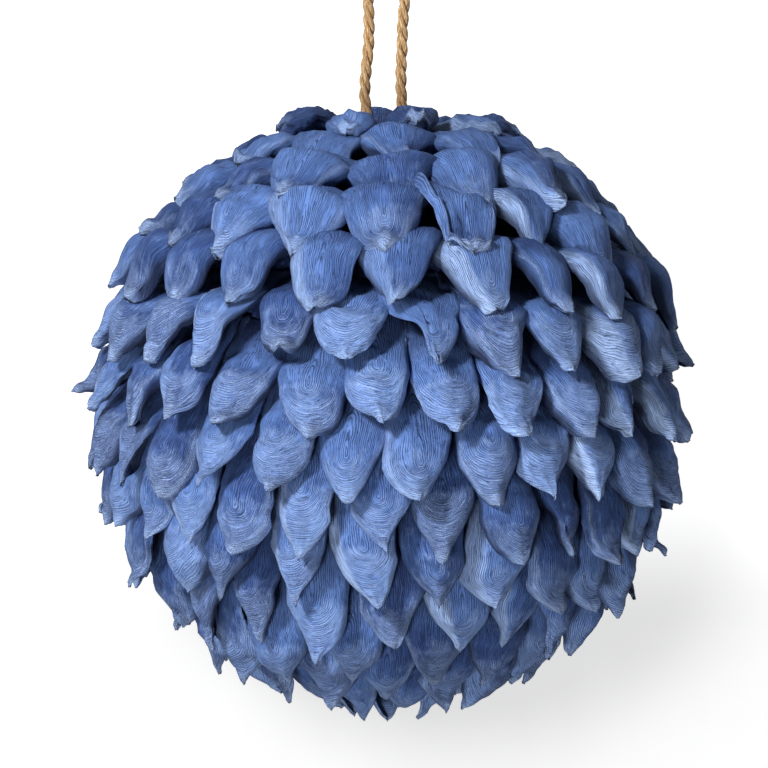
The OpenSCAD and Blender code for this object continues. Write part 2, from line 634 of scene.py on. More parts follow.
class TurnSurvey:
    """Reads the petals' places from one CAD node."""

    def __init__(self, node: bpy.types.Object) -> None:
        """Keeps the node.

        Args:
            node: The CAD object of one turn of petals.
        """
        self.node = node

    def islands(self) -> list[np.ndarray]:
        """Groups the node's points by petal.

        Returns:
            One array of points a petal.
        """
        mesh = self.node.data
        flat = np.empty(len(mesh.vertices) * 3)
        mesh.vertices.foreach_get("co", flat)
        points, merged = np.unique(np.round(flat.reshape(-1, 3), 6), axis=0,
                                   return_inverse=True)
        mesh.calc_loop_triangles()
        corners = np.empty(len(mesh.loop_triangles) * 3, dtype=np.int32)
        mesh.loop_triangles.foreach_get("vertices", corners)
        faces = merged.reshape(-1)[corners].reshape(-1, 3)
        label = np.arange(len(points))
        while True:
            lowest = label[faces].min(axis=1)
            fresh = label.copy()
            for corner in range(3):
                np.minimum.at(fresh, faces[:, corner], lowest)
            fresh = fresh[fresh]
            if np.array_equal(fresh, label):
                break
            label = fresh
        return [points[label == name] for name in np.unique(label)]

    def place(self, points: np.ndarray) -> PetalPlace:
        """Finds how one petal lies.

        Args:
            points: The petal's points.

        Returns:
            Its place.
        """
        centre = np.array(BALL_CENTRE)
        middle = points.mean(axis=0)
        way = np.linalg.svd(points - middle, full_matrices=False)[2]
        reach = points @ way[0]
        ends = [points[reach >= reach.max() - 0.8 * MM].mean(axis=0),
                points[reach <= reach.min() + 1.5 * MM].mean(axis=0)]
        ends.sort(key=lambda end: (end - centre)[2] / np.linalg.norm(end - centre))
        tip, foot = ends
        length = float(np.linalg.norm(tip - foot))
        along = (tip - foot) / length
        across = way[1] - along * (way[1] @ along)
        across /= np.linalg.norm(across)
        out = np.cross(along, across)
        if out @ (middle - centre) < 0:
            across, out = -across, -out
        side = points @ across
        rise = (points - foot) @ out
        return PetalPlace(Vector(foot), Vector(along), Vector(across), Vector(out),
                          length, float(side.max() - side.min()), float(rise.max()))

    def places(self) -> list[PetalPlace]:
        """Surveys the whole turn.

        Returns:
            The places in order round the ball.
        """
        found = [self.place(points) for points in self.islands()]
        return sorted(found, key=lambda p: math.atan2(p.tip.x, -p.tip.y))


class PetalBlank:
    """The flat closed sheet, two skins and a rim, that every petal is bent from."""

    rows: int = 34
    columns: int = 18

    def skin_points(self) -> list[tuple[float, float]]:
        """Places on one skin, closer together at the tip and the sides.

        Returns:
            Share of the length and of the half width for each point.
        """
        found = []
        for i in range(self.rows + 1):
            share = i / self.rows
            along = 1 - (1 - share) ** 1.35
            for j in range(self.columns + 1):
                found.append((along, -math.cos(math.pi * j / self.columns) * 0.55
                              + 0.45 * (2 * j / self.columns - 1)))
        return found

    def build(self) -> bpy.types.Object:
        """Makes the blank with its places stored on its points.

        Returns:
            The blank, which isn't linked to the scene.
        """
        skin = self.skin_points()
        count = len(skin)
        wide = self.columns + 1
        faces = []
        for i in range(self.rows):
            for j in range(self.columns):
                a = i * wide + j
                quad = (a, a + wide, a + wide + 1, a + 1)
                faces.append(quad)
                faces.append(tuple(k + count for k in reversed(quad)))
        border = [j for j in range(wide)]
        border += [i * wide + self.columns for i in range(1, self.rows + 1)]
        border += [self.rows * wide + j for j in range(self.columns - 1, -1, -1)]
        border += [i * wide for i in range(self.rows - 1, 0, -1)]
        for a, b in zip(border, border[1:] + border[:1]):
            faces.append((a, b, b + count, a + count))
        mesh = bpy.data.meshes.new("petal_blank")
        mesh.from_pydata([(u, v, -0.01 * side) for side in (0, 1) for u, v in skin],
                         [], faces)
        marks = mesh.attributes.new("blank", "FLOAT_VECTOR", "POINT")
        values = [(u, v, float(side)) for side in (0, 1) for u, v in skin]
        marks.data.foreach_set("vector", np.array(values).ravel())
        return bpy.data.objects.new("petal_blank", mesh)


class PetalTree:
    """The geometry tree that bends one blank into each petal of a turn."""

    outline = [(0.0, 0.84), (0.22, 0.95), (0.42, 1.0), (0.60, 1.0), (0.72, 0.92),
               (0.81, 0.70), (0.875, 0.42), (0.92, 0.25), (0.96, 0.17), (1.0, 0.09)]
    angular = [(0.0, 0.78), (0.35, 0.93), (0.66, 1.0), (0.88, 0.44), (0.95, 0.20),
               (0.975, 0.12), (1.0, 0.05)]
    defaults = {"Paper": 0.9 * MM, "Spread": 1.0, "Dents": 2.2 * MM,
                "Wrinkles": 0.62 * MM, "Ridge": 2.0 * MM, "Seed": 5.0,
                "Flare": 0.0}

    def __init__(self, blank: bpy.types.Object) -> None:
        """Builds the tree.

        Args:
            blank: The sheet that is bent.
        """
        self.group = bpy.data.node_groups.new("petal_bender", "GeometryNodeTree")
        face = self.group.interface
        face.new_socket("Geometry", in_out="INPUT", socket_type="NodeSocketGeometry")
        self.names = {}
        for name, value in self.defaults.items():
            made = face.new_socket(name, in_out="INPUT", socket_type="NodeSocketFloat")
            made.default_value = value
            self.names[name] = made.identifier
        made = face.new_socket("Blank", in_out="INPUT", socket_type="NodeSocketObject")
        self.names["Blank"] = made.identifier
        made = face.new_socket("Material", in_out="INPUT",
                               socket_type="NodeSocketMaterial")
        self.names["Material"] = made.identifier
        face.new_socket("Geometry", in_out="OUTPUT", socket_type="NodeSocketGeometry")
        self.blank = blank
        self.fill()

    def read(self, tree: NodeTree, name: str) -> Sock:
        """Reads a stored vector.

        Args:
            tree: The tree.
            name: The attribute's name.

        Returns:
            The vector.
        """
        return tree.out(tree.node("GeometryNodeInputNamedAttribute",
                                  {"data_type": "FLOAT_VECTOR"}, {"Name": name}))

    def store(self, tree: NodeTree, shape: Sock, name: str, value: Sock) -> Sock:
        """Stores a vector on the shape's points.

        Args:
            tree: The tree.
            shape: The geometry.
            name: The attribute's name.
            value: The vector.

        Returns:
            The geometry with it.
        """
        node = tree.node("GeometryNodeStoreNamedAttribute",
                         {"data_type": "FLOAT_VECTOR", "domain": "POINT"},
                         {"Geometry": shape, "Name": name, "Value": value})
        return tree.out(node)

    def fill(self) -> None:
        """Adds the nodes that place and bend the blanks."""
        tree = NodeTree(self.group)
        given = tree.node("NodeGroupInput")
        paper, spread, dents, wrinkles, ridge, seed, flare = (
            tree.out(given, name) for name in self.defaults)
        sheet = tree.node("GeometryNodeObjectInfo", None,
                          {"Object": tree.out(given, "Blank")})
        spots = tree.node("GeometryNodeInstanceOnPoints", None,
                          {"Points": tree.out(given, "Geometry"),
                           "Instance": tree.out(sheet, "Geometry")})
        real = tree.node("GeometryNodeRealizeInstances", None,
                         {0: tree.out(spots)})
        u, v, side = tree.parts(self.read(tree, "blank"))
        length, half, arch = tree.parts(self.read(tree, "petal_size"))
        cup, keel, fold = tree.parts(self.read(tree, "form_a"))
        dish, left, right = tree.parts(self.read(tree, "form_b"))
        flick, puff, bend = tree.parts(self.read(tree, "form_c"))
        twist, pleat, own = tree.parts(self.read(tree, "form_d"))
        focus, tone, taper = tree.parts(self.read(tree, "form_e"))
        wrap, crest, drop = tree.parts(self.read(tree, "form_f"))
        knob, lift, brace = tree.parts(self.read(tree, "form_g"))
        turn = own * 53.0 + seed
        out_v = abs(v)
        # outline, with each side wandering a little
        flank = tree.step(v, -0.35, 0.35)
        drift = tree.noise(tree.vector(u * 3.2, flank * 4.0), 1.0, 1.0, 0.5, turn) - 0.5
        slide = tree.noise(tree.vector(own * 9.0, 2.0 + flank * 1.6), 1.0, 0.0, 0.5,
                           turn) - 0.5
        moved = u + slide * 0.8 * (u * math.pi).sin()
        angular = tree.noise(tree.vector(own * 5.0, 7.0 + flank * 2.0), 1.0, 0.0, 0.5,
                             turn)
        corners = tree.step(angular, 0.42, 0.58)
        width = (tree.curve(moved, self.outline) * (1.0 - corners)
                 + tree.curve(moved, self.angular, "VECTOR") * corners) ** taper
        width = width * tree.step(u, 1.0, 0.965)
        reach = half * spread * width * (drift * 0.5 + 1.0) * (
            flare * tree.step(u, 0.74, 0.36) + 1.0)
        # how far the sheet falls away on both sides of its ridge
        grown = tree.step(u, 0.04, 0.5)
        firm = width ** 0.8 * grown
        bow_angle = v * wrap
        sunk = 1.0 - bow_angle.cos()
        aside = bow_angle.sin()
        fall = (cup * sunk + keel * abs(v - fold) / (abs(fold) + 1.0)
                + drop * (fold - v).high(0.0)
                + ridge * crest * abs(v - fold * 0.3) * tree.step(u, 0.60, 0.90))
        rise = dish * out_v * out_v * (1.0 - 0.9 * out_v ** 9.0)
        near_left = (v + 0.74) / 0.2
        near_right = (v - 0.74) / 0.2
        rise = rise + left * (1.0 / (near_left * near_left + 1.0) ** 2.0)
        rise = rise + right * (1.0 / (near_right * near_right + 1.0) ** 2.0)
        # profile along the petal
        bow = arch * 4.0 * u * (1.0 - u)
        swell = puff * tree.step(u, 0.15, 0.6) * tree.step(u, 1.0, 0.66)
        turned = flick * tree.step(u, 0.72, 1.04) ** 1.4
        # gathered pleats at the tip, dents and long wrinkles
        gather = tree.step(u, 0.72, 0.92) * tree.step(u, 1.0, 0.94)
        pleats = pleat * gather * (
            1.0 - 2.4 * abs((v * 6.0 + own * 19.0 + 1.2 * u).sin())) * (
            0.08 + 0.92 * width)
        here = tree.vector(u * 4.2, v * 1.3)
        dent = (tree.noise(here, 1.0, 2.0, 0.5, turn + 2.0) - 0.5) * 2.0
        long_way = tree.vector(u * 2.2, v * 6.5)
        crease = (tree.noise(long_way, 1.0, 2.0, 0.55, turn + 5.0) - 0.5) * 2.0
        wavy = tree.noise(tree.vector(u * 7.0, tree.step(v, -0.1, 0.1) * 3.0), 1.0,
                          1.0, 0.5, turn + 9.0) - 0.5
        lump = knob * tree.step(u, 0.85, 0.93) * tree.step(u, 1.0, 0.95)
        shoulder = brace * tree.step(u, 0.0, 0.32) * tree.step(u, 0.95, 0.42)
        z = (bow + swell + turned + lump + lift * tree.step(u, 0.0, 0.8) + shoulder
             + pleats - fall * firm + rise * width * grown
             + dent * dents * 2.0 * (0.4 + 0.6 * width) + abs(crease) * wrinkles * -4.0
             + wavy * 2.4 * MM * out_v ** 4.0 * width)
        # the inner skin lies under the outer one
        z = z - side * paper * (1.0 - 0.5 * out_v ** 6.0) * tree.step(u, 1.0, 0.9, 0.5)
        y = aside * reach * (1.0 - 0.06 * side) + bend * (u * 0.35 + u ** 3.0 * 0.65)
        # turn the section about the petal's length
        angle = twist * (u - 0.4)
        cos, sin = angle.cos(), angle.sin()
        y_turned = y * cos - z * sin
        z_turned = y * sin + z * cos
        x = u * length * (1.0 - 0.012 * side) - tree.step(u, 0.85, 1.0) * abs(flick) * 0.3
        spot = tree.summed(
            self.read(tree, "petal_foot"),
            tree.scaled(self.read(tree, "petal_along"), x),
            tree.scaled(self.read(tree, "petal_across"), y_turned),
            tree.scaled(self.read(tree, "petal_out"), z_turned))
        bent = tree.node("GeometryNodeSetPosition", None,
                         {"Geometry": tree.out(real), "Position": spot})
        end = tree.step(u, 0.86, 1.0)
        steep = out_v * wrap
        # edge: pale at the sheet's edges and tip, below zero on the steep sides of closed
        # pods, which the paper shader darkens as painted shade, and a pale band along the
        # steep flank of angular petals
        edge = ((tree.step(out_v, 0.90, 1.0) * tree.step(wrap, 1.9, 1.6)).high(end)
                - tree.step(steep, 1.30, 1.75) * (1.0 - end) * tree.step(wrap, 2.8, 2.4)
                + tree.step(steep, 0.98, 1.16) * tree.step(steep, 1.34, 1.20)
                * tree.step(angular, 0.48, 0.60) * tree.step(u, 0.35, 0.6) * 0.8)
        shape = self.store(tree, tree.out(bent), "petal_map",
                           tree.vector(u * length,
                                       v * half * wrap * (0.4 + 0.5 * width), own))
        # the flank rolled down past the fold is marked here for its painted highlight in
        # the paper shader
        lip_highlight = tree.step(fold - v, -0.02, 0.08) * tree.step(drop, 2.0 * MM, 8.0 * MM)
        shape = self.store(tree, shape, "petal_look",
                           tree.vector(focus * length, tone + lip_highlight, edge))
        smooth = tree.node("GeometryNodeSetShadeSmooth", None, {"Geometry": shape})
        dressed = tree.node("GeometryNodeSetMaterial", None,
                            {"Geometry": tree.out(smooth),
                             "Material": tree.out(given, "Material")})
        last = tree.node("NodeGroupOutput")
        tree.feed(last.inputs[0], tree.out(dressed))

    def run(self, points: bpy.types.Object, material: bpy.types.Material,
            name: str, sizes: dict[str, float]) -> bpy.types.Object:
        """Bends the blanks at the points and keeps the result as a plain mesh.

        Args:
            points: An object with one point and its sizes for each petal.
            material: The petals' material.
            name: The new piece's name.
            sizes: Inputs of the tree that differ from the usual, by name.

        Returns:
            The piece, linked to the scene.
        """
        modifier = points.modifiers.new("bend", "NODES")
        modifier.node_group = self.group
        for key, value in sizes.items():
            modifier[self.names[key]] = value
        modifier[self.names["Blank"]] = self.blank
        modifier[self.names["Material"]] = material
        return plain_copy(points, name)


def plain_copy(maker: bpy.types.Object, name: str,
               keep: Sequence[str] = ("petal_map", "petal_look", "strand_map")
               ) -> bpy.types.Object:
    """Turns what an object's modifiers make into a plain mesh object.

    Args:
        maker: The object with the modifiers, which is removed.
        name: The new object's name.
        keep: Attributes that the materials read.

    Returns:
        The new object, linked to the scene.
    """
    scene = bpy.context.scene
    scene.collection.objects.link(maker)
    bpy.context.view_layer.update()
    graph = bpy.context.evaluated_depsgraph_get()
    mesh = bpy.data.meshes.new_from_object(maker.evaluated_get(graph),
                                           preserve_all_data_layers=True,
                                           depsgraph=graph)
    maker.modifiers.clear()
    bpy.data.objects.remove(maker)
    mesh.name = name
    own = {"position", "sharp_face", "sharp_edge", "material_index", *keep}
    for attribute in [a.name for a in mesh.attributes]:
        if attribute not in own and not attribute.startswith("."):
            mesh.attributes.remove(mesh.attributes[attribute])
    made = bpy.data.objects.new(name, mesh)
    scene.collection.objects.link(made)
    return made


@dataclass
class PetalCoat:
    """All the petals, turn by turn."""

    turns: int = 14
    seed: int = 816
    # share of each style from the top turns to the bottom ones
    top_mix: dict = field(default_factory=lambda: {
        PetalStyle.POD: 4, PetalStyle.KNOBBED: 3, PetalStyle.LIPPED: 3,
        PetalStyle.DOMED: 1})
    body_mix: dict = field(default_factory=lambda: {
        PetalStyle.DOMED: 2, PetalStyle.KEELED: 3, PetalStyle.CREASED: 3,
        PetalStyle.ROLLED: 5, PetalStyle.BEAKED: 2, PetalStyle.LIFTED: 3,
        PetalStyle.EDGED: 4, PetalStyle.HOLLOW: 4})
    right_mix: dict = field(default_factory=lambda: {
        PetalStyle.ROLLED: 6, PetalStyle.EDGED: 2, PetalStyle.KEELED: 2,
        PetalStyle.BEAKED: 2})
    # changes to the upper turns from the top one down: factors of the cup, then mm,
    # then shares of the width
    top_cup: tuple = (0.75, 0.9, 1.25, 1.4)
    top_puff: tuple = (0.5, 2.0, 6.0, 9.0)
    top_broad: tuple = (0.0, 0.12, 0.18, 0.14)
    # how far, in mm, each turn's petals are raised at the tip, at the shoulder and
    # in the middle, where the last value holds for all the turns below
    lift: tuple = (3.0, 0.5, 2.5, 1.0, 1.0, 0.5, 0.0)
    brace: tuple = (1.0, 4.0, 5.0, 7.0, 7.0, 3.0, 0.0)
    body_puff: tuple = (0.0, 0.0, 0.0, 0.0, 5.0, 3.0, 1.0)
    # how much wider the sheltered part is, from the top turn down
    flare: tuple = (0.0, 0.25, 0.40, 0.45, 0.40, 0.30, 0.15, 0.10)
    # the top turns are creased more deeply
    crumpled: dict = field(default_factory=lambda: {
        "Wrinkles": 1.3 * MM, "Dents": 3.4 * MM})
    chosen: tuple = (
        Chosen(26.4, 64.0, PetalStyle.HOLLOW, {"puff": 9.0, "brace": 7.0, "knob": 3.0,
                                               "left": 4.5, "dish": 2.0, "cup": 3.0,
                                               "flick": 2.0, "taper": 0.5}),
        Chosen(-28.0, 111.0, PetalStyle.POD, {"bend": 8.0, "lift": 5.0}),
        Chosen(30.0, -49.0, PetalStyle.HOLLOW, {"bend": -3.0}))

    def form(self, turn: int, place: PetalPlace, picker: random.Random) -> dict:
        """Chooses how one petal is bent.

        Args:
            turn: The turn's number from the top, from 1.
            place: Where the petal lies.
            picker: The seeded random source.

        Returns:
            The form's values by name.
        """
        facing = max(0.0, -place.tip.y / math.hypot(place.tip.x, place.tip.y))
        mix = self.top_mix if turn <= 4 else self.body_mix
        if 2 < turn < 8 and place.tip.x > 32 * MM:
            mix = self.right_mix
        style = picker.choices(list(mix), list(mix.values()))[0]
        values = dict(vars(style.value))
        for name, share in (("cup", 0.18), ("keel", 0.25), ("dish", 0.3),
                            ("left", 0.4), ("right", 0.4), ("puff", 0.35),
                            ("flick", 0.4), ("knob", 0.5), ("drop", 0.3),
                            ("pleat", 0.4), ("broad", 0.05)):
            values[name] *= 1 + picker.uniform(-share, share)
        if turn <= 4:
            values["cup"] *= self.top_cup[turn - 1]
            values["keel"] *= 0.8
            values["puff"] += self.top_puff[turn - 1] * (0.3 + 0.7 * facing)
            values["broad"] *= 1.0 + self.top_broad[turn - 1] * facing
        elif turn > 7:
            values["cup"] *= 1.15
            values["flick"] += 1.0
        values["lift"] = self.lift[min(turn, 7) - 1]
        values["brace"] = self.brace[min(turn, 7) - 1] * (0.25 + 0.75 * facing)
        values["puff"] += self.body_puff[min(turn, 7) - 1]
        values["fold"] += picker.uniform(-0.15, 0.15)
        values["bend"] += picker.uniform(-6.5, 4.0)
        if 5 < turn < 11 and abs(place.tip.x - 5 * MM) < 50 * MM:
            values["bend"] += 4.5
        values["twist"] += picker.uniform(-0.40, 0.40)
        if picker.random() < 0.4 and not values["drop"]:
            values["fold"] = -values["fold"]
            values["left"], values["right"] = values["right"], values["left"]
        for choice in self.chosen:
            if math.hypot(choice.x * MM - place.tip.x,
                          choice.z * MM - place.tip.z) < 7 * MM and place.tip.y < 0:
                values = dict(vars(choice.style.value))
                values.update(choice.changes)
                values["lift"] = choice.changes.get("lift", 0.0)
                values["brace"] = choice.changes.get("brace", 0.0)
        return values

    def points(self, turn: int, places: list[PetalPlace],
               picker: random.Random) -> bpy.types.Object:
        """Makes the points object that the petal tree reads.

        Args:
            turn: The turn's number from the top, from 1.
            places: Where its petals lie.
            picker: The seeded random source.

        Returns:
            The object, not linked.
        """
        rows: dict[str, list] = {name: [] for name in (
            "petal_foot", "petal_along", "petal_across", "petal_out",
            "petal_size", "form_a", "form_b", "form_c", "form_d", "form_e",
            "form_f", "form_g")}
        for place in places:
            f = self.form(turn, place, picker)
            rows["petal_foot"].append(tuple(place.foot))
            rows["petal_along"].append(tuple(place.along))
            rows["petal_across"].append(tuple(place.across))
            rows["petal_out"].append(tuple(place.out))
            length = place.length * picker.uniform(0.95, 1.04)
            rows["petal_size"].append((length, place.width / 2 * f["broad"],
                                       max(place.arch - 1.2 * MM, 1.0 * MM)))
            rows["form_a"].append((f["cup"] * MM, f["keel"] * MM, f["fold"]))
            rows["form_b"].append((f["dish"] * MM, f["left"] * MM, f["right"] * MM))
            rows["form_c"].append((f["flick"] * MM, f["puff"] * MM, f["bend"] * MM))
            rows["form_d"].append((f["twist"], f["pleat"] * MM, picker.random()))
            rows["form_g"].append((f["knob"] * MM, f["lift"] * MM,
                                   f["brace"] * MM))
            rows["form_f"].append((f["wrap"], f["crest"], f["drop"] * MM))
            focus = picker.uniform(*((0.76, 0.9) if turn < 6 else (0.48, 0.72)))
            rows["form_e"].append((focus, picker.random(),
                                   f["taper"] * picker.uniform(*(
                                       (0.60, 1.05) if turn < 8 else (0.75, 1.45)))))
        mesh = bpy.data.meshes.new("petal_points")
        mesh.from_pydata([tuple(p.foot) for p in places], [], [])
        for name, values in rows.items():
            layer = mesh.attributes.new(name, "FLOAT_VECTOR", "POINT")
            layer.data.foreach_set("vector", np.array(values, dtype=float).ravel())
        return bpy.data.objects.new("petal_points", mesh)

    def build(self, nodes: dict[str, bpy.types.Object]) -> None:
        """Args:
            nodes: The CAD objects by name.
        """
        material = PetalPaper().build()
        blank = PetalBlank().build()
        tree = PetalTree(blank)
        picker = random.Random(self.seed)
        for turn in range(1, self.turns + 1):
            node = f"petal_turn_{turn:02d}"
            places = TurnSurvey(nodes[node]).places()
            points = self.points(turn, places, picker)
            piece = tree.run(points, material, f"paper_petals_{turn:02d}",
                             {**(self.crumpled if turn <= 4 else {}),
                              "Flare": self.flare[min(turn, 8) - 1]})
            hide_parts(node)
            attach(piece, "root")
            log.info("%s: %d petals, %d faces", piece.name, len(places),
                     len(piece.data.polygons))


@dataclass
class RopeLoop:
    """The three-strand rope loop above the ball."""

    diameter: float = 4.4 * MM
    lay_length: float = 18.0 * MM
    strand: float = 1.10 * MM
    offset: float = 1.20 * MM
    sides: int = 12
    # the route from one hole's floor over the loop to the other's, as x and
    # height over the ball's centre in mm
    route: tuple = (
        (-7.2, 70.3), (-7.2, 84.3), (-7.2, 98), (-7.2, 108), (-7.7, 116),
        (-8.8, 125), (-8.5, 134), (-7.4, 145), (-7.2, 156), (-8.0, 170),
        (-9.4, 179), (-8.8, 185.5), (-5.8, 190.2), (0, 192.2), (5.8, 190.2),
        (8.8, 185.5), (9.4, 179), (7.8, 170), (6.4, 156), (6.0, 145),
        (5.6, 134), (5.8, 125), (6.7, 116), (7.2, 108), (7.2, 98),
        (7.2, 84.3), (7.2, 70.3))

    def path(self) -> list[Vector]:
        """The route in metres in the frame.

        Returns:
            The points in order.
        """
        return [Vector((x * MM, 0.0, BALL_CENTRE.z + z * MM)) for x, z in self.route]

    def length(self) -> float:
        """The route's length in metres."""
        path = self.path()
        return sum((b - a).length for a, b in zip(path, path[1:]))

    def tree(self) -> tuple[bpy.types.NodeTree, dict[str, str]]:
        """Builds the tree that lays three strands round the route.

        Returns:
            The tree and the identifiers of its inputs by name.
        """
        group = bpy.data.node_groups.new("rope_layer", "GeometryNodeTree")
        face = group.interface
        face.new_socket("Geometry", in_out="INPUT", socket_type="NodeSocketGeometry")
        names = {}
        for name, value in (("Lay length", self.lay_length), ("Strand", self.strand),
                            ("Offset", self.offset)):
            made = face.new_socket(name, in_out="INPUT", socket_type="NodeSocketFloat")
            made.default_value = value
            names[name] = made.identifier
        for name, kind in (("Sides", "NodeSocketInt"), ("Seed", "NodeSocketInt"),
                           ("Material", "NodeSocketMaterial")):
            names[name] = face.new_socket(name, in_out="INPUT",
                                          socket_type=kind).identifier
        face.new_socket("Geometry", in_out="OUTPUT", socket_type="NodeSocketGeometry")
        tree = NodeTree(group)
        given = tree.node("NodeGroupInput")
        even = tree.node("GeometryNodeResampleCurve", {"mode": "LENGTH"},
                         {"Curve": tree.out(given, "Geometry"), "Length": 0.7 * MM})
        where = tree.out(tree.node("GeometryNodeInputPosition"))
        tangent = tree.out(tree.node("GeometryNodeInputTangent"))
        travelled = tree.out(tree.node("GeometryNodeSplineParameter"), "Length")
        level = (0.0, 1.0, 0.0)
        square = tree.cross(tangent, level)
        join = tree.node("GeometryNodeJoinGeometry")
        ring = tree.node("GeometryNodeCurvePrimitiveCircle", {"mode": "RADIUS"},
                         {"Resolution": tree.out(given, "Sides"),
                          "Radius": tree.out(given, "Strand")})
        marked = tree.node("GeometryNodeStoreNamedAttribute",
                           {"data_type": "FLOAT", "domain": "POINT"},
                           {"Geometry": tree.out(ring), "Name": "share_round",
                            "Value": tree.out(tree.node("GeometryNodeSplineParameter"),
                                              "Factor")})
        for index in range(3):
            slack = tree.noise(tree.vector(travelled * 90.0, index * 7.0), 1.0, 1.0)
            phase = (travelled / tree.out(given, "Lay length") * (-2 * math.pi)
                     + index * 2 * math.pi / 3 + (slack - 0.5) * 0.9)
            far = tree.out(given, "Offset") * (slack * 0.16 + 0.94)
            moved = tree.summed(where, tree.scaled(level, phase.cos() * far),
                                tree.scaled(square, phase.sin() * far))
            strand = tree.node("GeometryNodeSetPosition", None,
                               {"Geometry": tree.out(even), "Position": moved})
            noted = tree.node("GeometryNodeStoreNamedAttribute",
                              {"data_type": "FLOAT_VECTOR", "domain": "POINT"},
                              {"Geometry": tree.out(strand), "Name": "share_along",
                               "Value": tree.vector(travelled, index * 1.0)})
            tube = tree.node("GeometryNodeCurveToMesh", {},
                             {"Curve": tree.out(noted),
                              "Profile Curve": tree.out(marked), "Fill Caps": True})
            group.links.new(tube.outputs[0], join.inputs[0])
        along, number, _ = tree.parts(tree.out(
            tree.node("GeometryNodeInputNamedAttribute",
                      {"data_type": "FLOAT_VECTOR"}, {"Name": "share_along"})))
        round_share = tree.out(tree.node("GeometryNodeInputNamedAttribute",
                                         {"data_type": "FLOAT"},
                                         {"Name": "share_round"}))
        mapped = tree.node("GeometryNodeStoreNamedAttribute",
                           {"data_type": "FLOAT_VECTOR", "domain": "POINT"},
                           {"Geometry": tree.out(join), "Name": "strand_map",
                            "Value": tree.vector(along, round_share, number)})
        # yarns stand out a little, and short fibres stick out
        surface = tree.out(tree.node("GeometryNodeInputNormal"))
        rough = tree.noise(tree.vector(along * 260.0, round_share * 9.0, number), 1.0,
                           2.0, 0.6) - 0.5
        shaped = tree.node("GeometryNodeSetPosition", None,
                           {"Geometry": tree.out(mapped),
                            "Offset": tree.scaled(surface, rough * 0.34 * MM)})
        spread = tree.node("GeometryNodeDistributePointsOnFaces", None,
                           {"Mesh": tree.out(shaped), "Density": 90000.0,
                            "Seed": tree.out(given, "Seed")})
        hair = tree.node("GeometryNodeMeshCone", None,
                         {"Vertices": 3, "Side Segments": 2, "Radius Top": 0.01 * MM,
                          "Radius Bottom": 0.045 * MM, "Depth": 2.2 * MM})
        lean = tree.node("FunctionNodeRandomValue", {"data_type": "FLOAT_VECTOR"},
                         {"Min": (-0.9, -0.9, -1.0), "Max": (0.9, 0.9, 1.0)})
        tilt = tree.node("FunctionNodeRotateEuler",
                         {"rotation_type": "EULER", "space": "LOCAL"},
                         {"Rotation": tree.out(spread, "Rotation"),
                          "Rotate By": tree.out(lean)})
        planted = tree.node("GeometryNodeInstanceOnPoints", None,
                            {"Points": tree.out(spread, "Points"),
                             "Instance": tree.out(hair, "Mesh"),
                             "Rotation": tree.out(tilt)})
        both = tree.node("GeometryNodeJoinGeometry")
        group.links.new(shaped.outputs[0], both.inputs[0])
        group.links.new(planted.outputs[0], both.inputs[0])
        real = tree.node("GeometryNodeRealizeInstances", None, {0: tree.out(both)})
        smooth = tree.node("GeometryNodeSetShadeSmooth", None,
                           {"Geometry": tree.out(real)})
        dressed = tree.node("GeometryNodeSetMaterial", None,
                            {"Geometry": tree.out(smooth),
                             "Material": tree.out(given, "Material")})
        tree.feed(tree.node("NodeGroupOutput").inputs[0], tree.out(dressed))
        return group, names

    def build(self) -> None:
        path = self.path()
        curve = bpy.data.curves.new("rope_route", "CURVE")
        curve.dimensions = "3D"
        spline = curve.splines.new("BEZIER")
        spline.bezier_points.add(len(path) - 1)
        for knot, place in zip(spline.bezier_points, path):
            knot.co = place
            knot.handle_left_type = knot.handle_right_type = "AUTO"
        curve.resolution_u = 12
        maker = bpy.data.objects.new("rope_route", curve)
        group, names = self.tree()
        modifier = maker.modifiers.new("strands", "NODES")
        modifier.node_group = group
        modifier[names["Sides"]] = self.sides
        modifier[names["Seed"]] = 7
        modifier[names["Material"]] = JuteRope().build()
        rope = plain_copy(maker, "jute_rope_loop")
        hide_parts("hanger_rope")
        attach(rope, "root")
        self.length()
        log.info("%s: %.0f mm long, %d faces", rope.name, self.length() * 1000,
                 len(rope.data.polygons))


class Core:
    """The foam core under the petals."""

    def build(self, node: bpy.types.Object) -> None:
        """Gives the CAD core its finish.

        Args:
            node: The CAD object.
        """
        node.data.materials.clear()
        node.data.materials.append(CoreFoam().build())
        log.info("%s has its foam finish", node.name)


